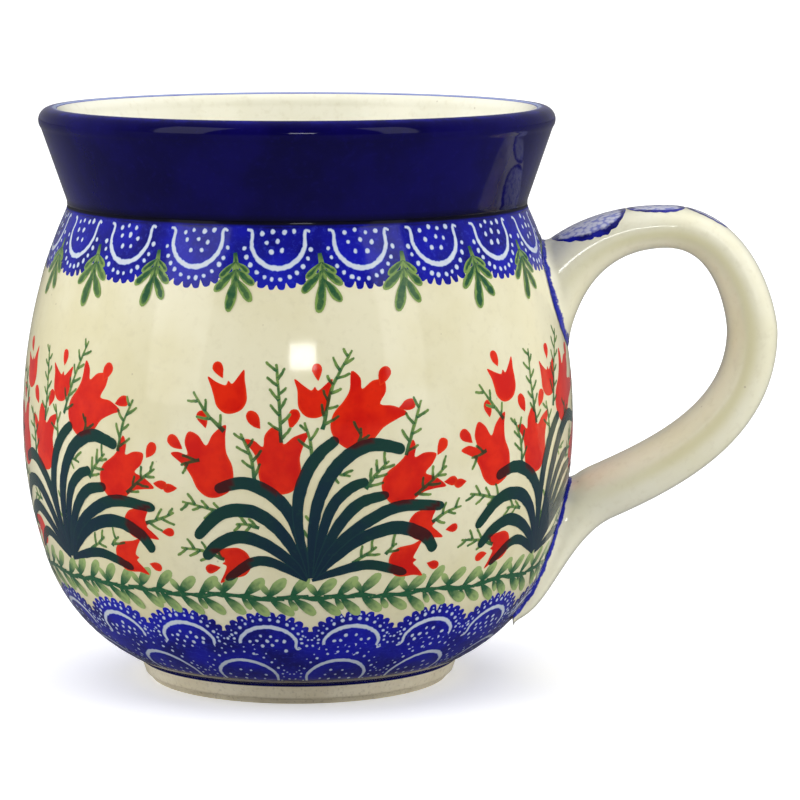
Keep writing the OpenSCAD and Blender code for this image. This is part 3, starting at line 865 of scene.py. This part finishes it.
petals, blades, ferns = (Paint(on_belly) for _ in range(3))
BOUQUETS = 6
ROOT_S, ROOT_A = 56.4, 3.4  # where the first bouquet's blades meet
for b in range(BOUQUETS):
    at = (ROOT_A + 360 // BOUQUETS * b + rng.uniform(-0.8, 0.8), ROOT_S + rng.uniform(-0.3, 0.3))
    turn, size = (0.0, 1.0) if b == 0 else (rng.uniform(-0.03, 0.03), rng.uniform(0.98, 1.02))
    put = dict(turn=turn, scale=size)
    cups = []
    for i, (x, y, deg, k, middle) in enumerate(TULIPS):
        (pts, faces, rim, run), edge = tulip(k, middle, b * 100 + i)
        pts = turned(pts, math.radians(-deg)) + [x, y]
        cups.append(pts[:edge])
        petals.lay((pts, faces, rim, run), at, 1 + i % 2, **put)
    for i, (x, y, deg, k) in enumerate(BUDS):
        x, y = x + rng.uniform(-.2, .2), y + rng.uniform(-.2, .2)
        a = math.radians(deg + rng.uniform(-8, 8))
        d = np.array([math.cos(a), math.sin(a)])
        tip, top = np.array([x, y]) + d * 1.8 * k, np.array([x, y]) - d * 1.35 * k
        petals.lay(drop(*tip, *top, 2.45 * k, b * 50 + i, blunt=0.5), at, 2, **put)
    for i, (x0, y0, x1, y1, n) in enumerate(FERNS):
        for part in fern(x0, y0, x1, y1, n, b * 300 + i * 11):
            ferns.lay(part, at, 3, over=inside(part[0], cups), **put)
    for i, (pts, wide) in enumerate(BLADES):
        taper = lambda u: wide * (0.3 + 0.7 * np.sin(np.pi * 0.8 * u) ** 0.8)
        part = stroke(pts, taper, None, b * 40 + i, 0.05, 0.9)
        blades.lay(part, at, 4 + i % 3, over=inside(part[0], cups), **put)
petals.skin.build("tulips", petal_material("tulip_red"), *ON_BELLY)
fern_green = leaf_material("fern_green", srgb(122, 152, 78), srgb(34, 92, 60), 0.75, 0.0, 0.34, 0.2)
ferns.skin.build("ferns", fern_green, *ON_BELLY)
blades.skin.build("blades", blade_material("blade_teal"), *ON_BELLY)

# ---- handle: four Bezier stretches, from the root over the bow and down to the elbow and the tail
STRAP_W, STRAP_T, ARM_T, ELBOW_T, ROOT_T, TAIL_T, SPREAD = 15.0, 7.1, 8.4, 9.0, 15.0, 3.2, 1.35


def wall_r(z):
    z = np.asarray(z, float)
    arcs = ((shoulder_c, shoulder_r), (lower_c, LOWER_R), (heel_c, heel_r))
    top, low, heel = (c[0] + np.sqrt(np.maximum(r ** 2 - (z - c[1]) ** 2, 0)) for c, r in arcs)
    return np.where(z > BELLY_Z, top, np.where(z > HEEL_Z, low, heel))


JOINT_Z = NECK_Z - 15.7  # the upper joint
ROOT_Z, ELBOW_Z, TAIL_Z = JOINT_Z - 11.5, 30.7, 11.6
root = np.array([float(wall_r(ROOT_Z)) - 8.9, ROOT_Z])
top = np.array([BELLY_R + 15.1, JOINT_Z + 15.1 - STRAP_T / 2])
outer = np.array([BELLY_R + 33.8 - ARM_T / 2, JOINT_Z - 6])
elbow = np.array([float(wall_r(ELBOW_Z)) + 6, ELBOW_Z])
tail = np.array([float(wall_r(TAIL_Z)) - 1.8, TAIL_Z])
bow, sag = (outer[0] - top[0]) * 0.82, (outer[1] - ELBOW_Z) * 0.54
pull = np.array([11.9, 5.3])
STRETCHES = (  # four points, thickness at each end, width at each end over STRAP_W
    ((root, root + [1.9, 10.2], top - [bow * 1.34, 0], top), (ROOT_T, STRAP_T), (SPREAD, 1)),
    ((top, top + [bow, 0], outer + [0, bow * 0.22], outer), (STRAP_T, ARM_T), (1, 1)),
    ((outer, outer - [0, sag], elbow + pull, elbow), (ARM_T, ELBOW_T), (1, 1.1)),
    ((elbow, elbow - pull * 0.79, tail + [5.4, 0.2], tail), (ELBOW_T, TAIL_T), (1.1, SPREAD)))


def handle_at(t, a):
    """Points of the strap at t (0 to 4 along it) and section angle a (0 outermost), and its pools."""
    t, a = np.broadcast_arrays(np.asarray(t, float), np.asarray(a, float))
    k = np.clip(t.astype(int), 0, 3)
    u = t - k
    P, T, W = (np.array([s[i] for s in STRETCHES])[k] for i in range(3))
    p0, p1, p2, p3 = (P[..., i, :] for i in range(4))
    uu = u[..., None]
    v = 1 - uu
    c = v ** 3 * p0 + 3 * v ** 2 * uu * p1 + 3 * v * uu ** 2 * p2 + uu ** 3 * p3
    d = 3 * v ** 2 * (p1 - p0) + 6 * v * uu * (p2 - p1) + 3 * uu ** 2 * (p3 - p2)
    d = d / np.linalg.norm(d, axis=-1, keepdims=True)
    out = np.stack([-d[..., 1], d[..., 0]], -1)
    ease = u * u * (3 - 2 * u)
    half_t = (T[..., 0] + (T[..., 1] - T[..., 0]) * ease) / 2 - SKIN
    half_w = (W[..., 0] + (W[..., 1] - W[..., 0]) * ease) * STRAP_W / 2 - SKIN
    ca, sa = np.cos(a), np.sin(a)
    px = np.sign(ca) * np.abs(ca) ** 0.8
    py = np.sign(sa) * np.abs(sa) ** 0.8
    # the thumb's channel down each side of the strap, and a narrower inner roll
    free = np.clip((t - 0.35) / 0.5, 0, 1) * np.clip((3.2 - t) / 0.5, 0, 1)
    groove = np.exp(-((px + 0.12) / 0.26) ** 2) * 0.012 * free
    inner_roll = np.clip(-px, 0, 1) ** 2 * 0.06 * free
    py = py * (1 - groove - inner_roll)
    q = c + out * (half_t * px)[..., None]
    pool = np.exp(-((px + 0.2) / 0.26) ** 2) * free * np.clip(np.abs(py) * 2 - 1, 0, 1)
    return np.stack([q[..., 0], half_w * py, q[..., 1]], -1), pool


heights = np.arange(0, 100, 0.5)
wall_slope = np.gradient(wall_r(heights), 0.5)


def wall_gap(p):
    """How far a point stands off the belly's wall."""
    z = np.clip(p[..., 2], FOOT_H, NECK_Z)
    return (np.hypot(p[..., 0], p[..., 1]) - wall_r(z)) / np.sqrt(1 + np.interp(z, heights, wall_slope) ** 2)


def across(f, t, a):
    """Outward normals of the surface f(t, a)."""
    e = 2e-3
    n = np.cross(f(t + e, a) - f(t - e, a), f(t, a + e) - f(t, a - e))
    return n / np.maximum(np.linalg.norm(n, axis=-1, keepdims=True), 1e-12)


FLARE = 1.7  # slip smoothed into the corner where the strap meets the wall


def strap(t, a):
    return handle_at(np.clip(t, 0, 3.9999), a)[0]


def flared(t, a):
    """The strap, with slip smoothed into its corners."""
    p = strap(t, a)
    near = np.clip(1 - wall_gap(p) / FLARE, 0, 1)
    n = across(strap, t, a)
    r = np.hypot(p[..., 0], p[..., 1])
    facing_out = (n[..., 0] * p[..., 0] + n[..., 1] * p[..., 1]) / r
    swell = FLARE * 0.85 * (1 - np.sqrt(1 - near ** 2)) * np.clip(1.15 - facing_out, 0, 1)
    return p + n * swell[..., None]


NA = 96  # points round the strap
t_rows = np.concatenate([
    np.linspace(0.01, 1, 101)[:-1], np.linspace(1, 3, 120)[:-1], np.linspace(3, 3.99, 81)])
TT, AA = np.meshgrid(t_rows, np.linspace(0, 2 * math.pi, NA, endpoint=False), indexing="ij")
hp, hn, pool = flared(TT, AA), across(flared, TT, AA), handle_at(TT, AA)[1]
gap = wall_gap(hp)
faces = [f for f in grid_faces(len(t_rows), NA, wrap=True, flip=True)
         if max(gap.ravel()[list(f)]) > -0.45]  # what lies deeper in the wall is left out
used = np.unique([i for f in faces for i in f])
place = {int(v): i for i, v in enumerate(used)}
handle = Skin()
handle.add(hp.reshape(-1, 3)[used], hn.reshape(-1, 3)[used], [tuple(place[i] for i in f) for f in faces],
           pool=pool.ravel()[used], gap=np.clip(gap.ravel()[used], 0, 5))
# The handle's ivory is lighter than the belly's: painted light on the strap.
handle_ivory = ground_material("handle_ivory", srgb(252, 249, 226), srgb(245, 240, 208), pooled=True)
handle.build("handle_skin", handle_ivory, *ON_HANDLE)

# the brushed dabs on the strap's back, and the line drawn round each joint on the belly
spine_t = np.linspace(0.2, 2, 400)
spine = flared(spine_t, np.zeros(400))
spine_s = np.concatenate([[0], np.cumsum(np.linalg.norm(np.diff(spine, axis=0), axis=1))])
girth_a = np.linspace(-math.pi / 2 - 0.6, math.pi / 2 + 0.6, 181)
ring = strap(np.full(181, 0.9), girth_a)
girth = np.concatenate([[0], np.cumsum(np.linalg.norm(np.diff(ring, axis=0), axis=1))])
girth -= girth[90]


def on_strap(x, y, where, layer):
    """x along the strap's back from where it passes a given distance out, y across it."""
    s0 = float(np.interp(where, spine[:, 0], spine_s))
    t = np.interp(s0 + x, spine_s, spine_t)
    a = np.interp(y, girth, girth_a)
    n = across(flared, t, a)
    return flared(t, a) + n * STRAP_LAYER * layer, n


DAB_U = (0, 0.04, 0.14, 0.35, 0.65, 0.84, 0.93, 0.98, 1)  # places along a dab
DAB_W = np.array((0.22, 0.5, 0.74, 0.93, 1, 0.88, 0.68, 0.42, 0.15))  # its width there


def dab(length, half, seed):
    """A broad dab along the strap, half its width at its widest, with a frilled edge."""
    r = random.Random(seed)
    u = (1 - np.cos(np.linspace(0, math.pi, int(length / 0.3)))) / 2
    frill = 0.3 * np.abs(np.sin(u * length * 1.9 + r.uniform(0, 3)))
    w = np.interp(u, DAB_U, DAB_W * half) + frill * np.minimum(1, 6 * np.minimum(u, 1 - u))
    k = np.linspace(-1, 1, 41)
    pts = np.stack([np.repeat(u[:, None] * length, 41, 1), w[:, None] * k[None]], -1)
    rim = np.minimum(w[:, None] * (1 - np.abs(k))[None], np.minimum(u, 1 - u)[:, None] * length)
    return pts.reshape(-1, 2), grid_faces(len(u), 41), rim.ravel(), np.zeros(pts.size // 2)


strokes = Paint(on_strap)
for i, (length, half, distance) in enumerate(((13.2, 7.9, 42.0), (9.6, 5.3, 54.4), (7.8, 3.7, 64.2)), 1):
    strokes.lay(dab(length, half, i), distance, 2)
strokes.skin.build("handle_dabs", dab_material("handle_dabs"), *ON_HANDLE)

outline = Paint(on_belly)
BESIDE = (90.0, 0.0)  # the handle's side of the belly, at the neck
for rows_ in (range(99, 0, -1), range(220, len(t_rows))):  # from the strap's root, then from its tail
    loop = []
    for j in range(0, NA, 3):
        i = next((i for i in rows_ if gap[i, j] < 0.25), None)
        if i is not None:
            x, y, z = hp[i, j]
            s_at = float(np.interp(-z, -BELLY.p[:, 1], BELLY.f))
            loop.append(((math.atan2(x, -y) - math.pi / 2) * BELLY_R, -s_at))
    loop = np.array(loop)
    c = loop.mean(0)
    size = np.linalg.norm(loop - c, axis=1)
    loop = c + (loop - c) * (1 + 0.5 / size)[:, None]
    loop = np.concatenate([loop, loop[:2]])
    loop[:, 1] = np.maximum(loop[:, 1], -S_END + 0.5)
    line = stroke(loop, lambda u: 0.62 + 0.2 * np.sin(u * 40), 150, 5, 0.25)
    outline.lay(line, BESIDE, 8)
for x, y in ((-9.3, -17), (9.3, -17), (-9.8, -58), (9.8, -58)):
    outline.lay(drop(x, y - 1.4, x - 0.3, y + 1.4, 1.7, int(x * 9)), BESIDE, 8)
outline.skin.build("joint_lines", cobalt_material("joint_lines"), *ON_BELLY)

# ---- the frame's own nodes
clay = clay_material("bare_stoneware", srgb(240, 230, 202), srgb(226, 214, 184))
slip = clay_material("fired_slip", srgb(198, 184, 150), srgb(178, 162, 126))
well = ground_material("well_glaze_clear", srgb(224, 217, 192), srgb(206, 198, 168))
own = {"vessel": clay, "handle": clay, "upper_slip_joint": slip, "lower_slip_joint": slip, "well_glaze": well}
for name, mat in own.items():
    obj = nodes[name]
    for s in obj.material_slots:
        s.link = "OBJECT"
        s.material = mat

# ---- floor, light and camera; lengths here are metres
scene = bpy.context.scene
bpy.ops.mesh.primitive_plane_add(size=14, location=(0, 4, 0))
floor = bpy.context.object
floor.name = "floor"
fm = Nodes("floor_white")
seen = fm.new("ShaderNodeLightPath").outputs["Is Camera Ray"]
mirrored = fm.new("ShaderNodeLightPath").outputs["Is Glossy Ray"]
grey = fm.mix(mirrored, (0.55, 0.55, 0.55, 1), (0.16, 0.16, 0.16, 1))
white = fm.clouds(400.0, 0.3, 0.7, (0.93, 0.93, 0.935, 1), (0.91, 0.91, 0.92, 1), 2.0)
fm.fill(fm.shader, {
    "Base Color": fm.mix(seen, grey, white), "Roughness": 0.75, "Specular IOR Level": 0.1,
    "Emission Color": (1, 1, 1, 1), "Emission Strength": fm.part(0.34, seen)})
floor.data.materials.append(fm.mat)

# The world is brighter behind the mug, and has an overhead scrim that the glaze does not mirror.
world = bpy.data.worlds.new("studio")
scene.world = world
sky = Tree(world)
split = sky.fill(sky.new("ShaderNodeSeparateXYZ"), {0: sky.new("ShaderNodeTexCoord").outputs["Generated"]})
unseen = sky.math("SUBTRACT", 1.0, sky.new("ShaderNodeLightPath").outputs["Is Glossy Ray"])
back = sky.step(split.outputs["Y"], -0.75, 0.35, 0.08, 0.62)
scrim = sky.step(split.outputs["Z"], 0.45, 0.85, 0.0, 0.95)
around = sky.math("MULTIPLY", back, sky.math("ADD", sky.math("MULTIPLY", unseen, 0.6), 0.4))
strength = sky.math("ADD", around, sky.math("MULTIPLY", scrim, unseen))
sky.fill(sky.t.nodes["Background"], {"Strength": strength, "Color": (1, 1, 1, 1)})
AIM = Vector((0, 0, 0.05))


def softbox(name, azimuth, elevation, distance, w, h, power, shine=True, spread=True):
    """A rectangular light; azimuth 0 is in front of the mug and 90 to its right.

    Without shine it isn't seen in reflections, and without spread it is seen only there.
    """
    a, e = math.radians(azimuth), math.radians(elevation)
    data = bpy.data.lights.new(name, "AREA")
    data.shape = "RECTANGLE"
    data.size, data.size_y, data.energy = w, h, power
    obj = bpy.data.objects.new(name, data)
    way = Vector((math.sin(a) * math.cos(e), -math.cos(a) * math.cos(e), math.sin(e)))
    obj.location = AIM + way * distance
    obj.rotation_euler = (AIM - obj.location).to_track_quat("-Z", "Y").to_euler()
    obj.visible_glossy = shine
    obj.visible_diffuse = spread
    scene.collection.objects.link(obj)


softbox("lamp_front", 3.5, 14, 1.5, 0.27, 0.15, 1.7, spread=False)
softbox("lamp_left", -51, 27, 1.6, 0.72, 1.5, 4.9)
softbox("lamp_right", 47, 27, 1.6, 0.50, 1.5, 3.4)
softbox("lamp_top", 0, 62, 1.8, 1.8, 1.4, 0.5, shine=False)
softbox("fill_left", -84, 8, 1.8, 1.5, 1.5, 20, shine=False)
softbox("fill_right", 76, 8, 1.8, 1.2, 1.5, 18, shine=False)

LENS, CAM_TILT = 163.8, 0.139  # mm, and radians down from level
cam_data = bpy.data.cameras.new("camera")
cam_data.sensor_width = 36
cam_data.lens = LENS
cam = bpy.data.objects.new("camera", cam_data)
cam.location = (0.0169, -0.600, 0.130)
cam.rotation_euler = (math.pi / 2 - CAM_TILT, 0, 0)
scene.collection.objects.link(cam)
scene.camera = cam
scene.view_settings.view_transform = "Standard"
scene.view_settings.look = "None"
scene.view_settings.exposure = 0.0
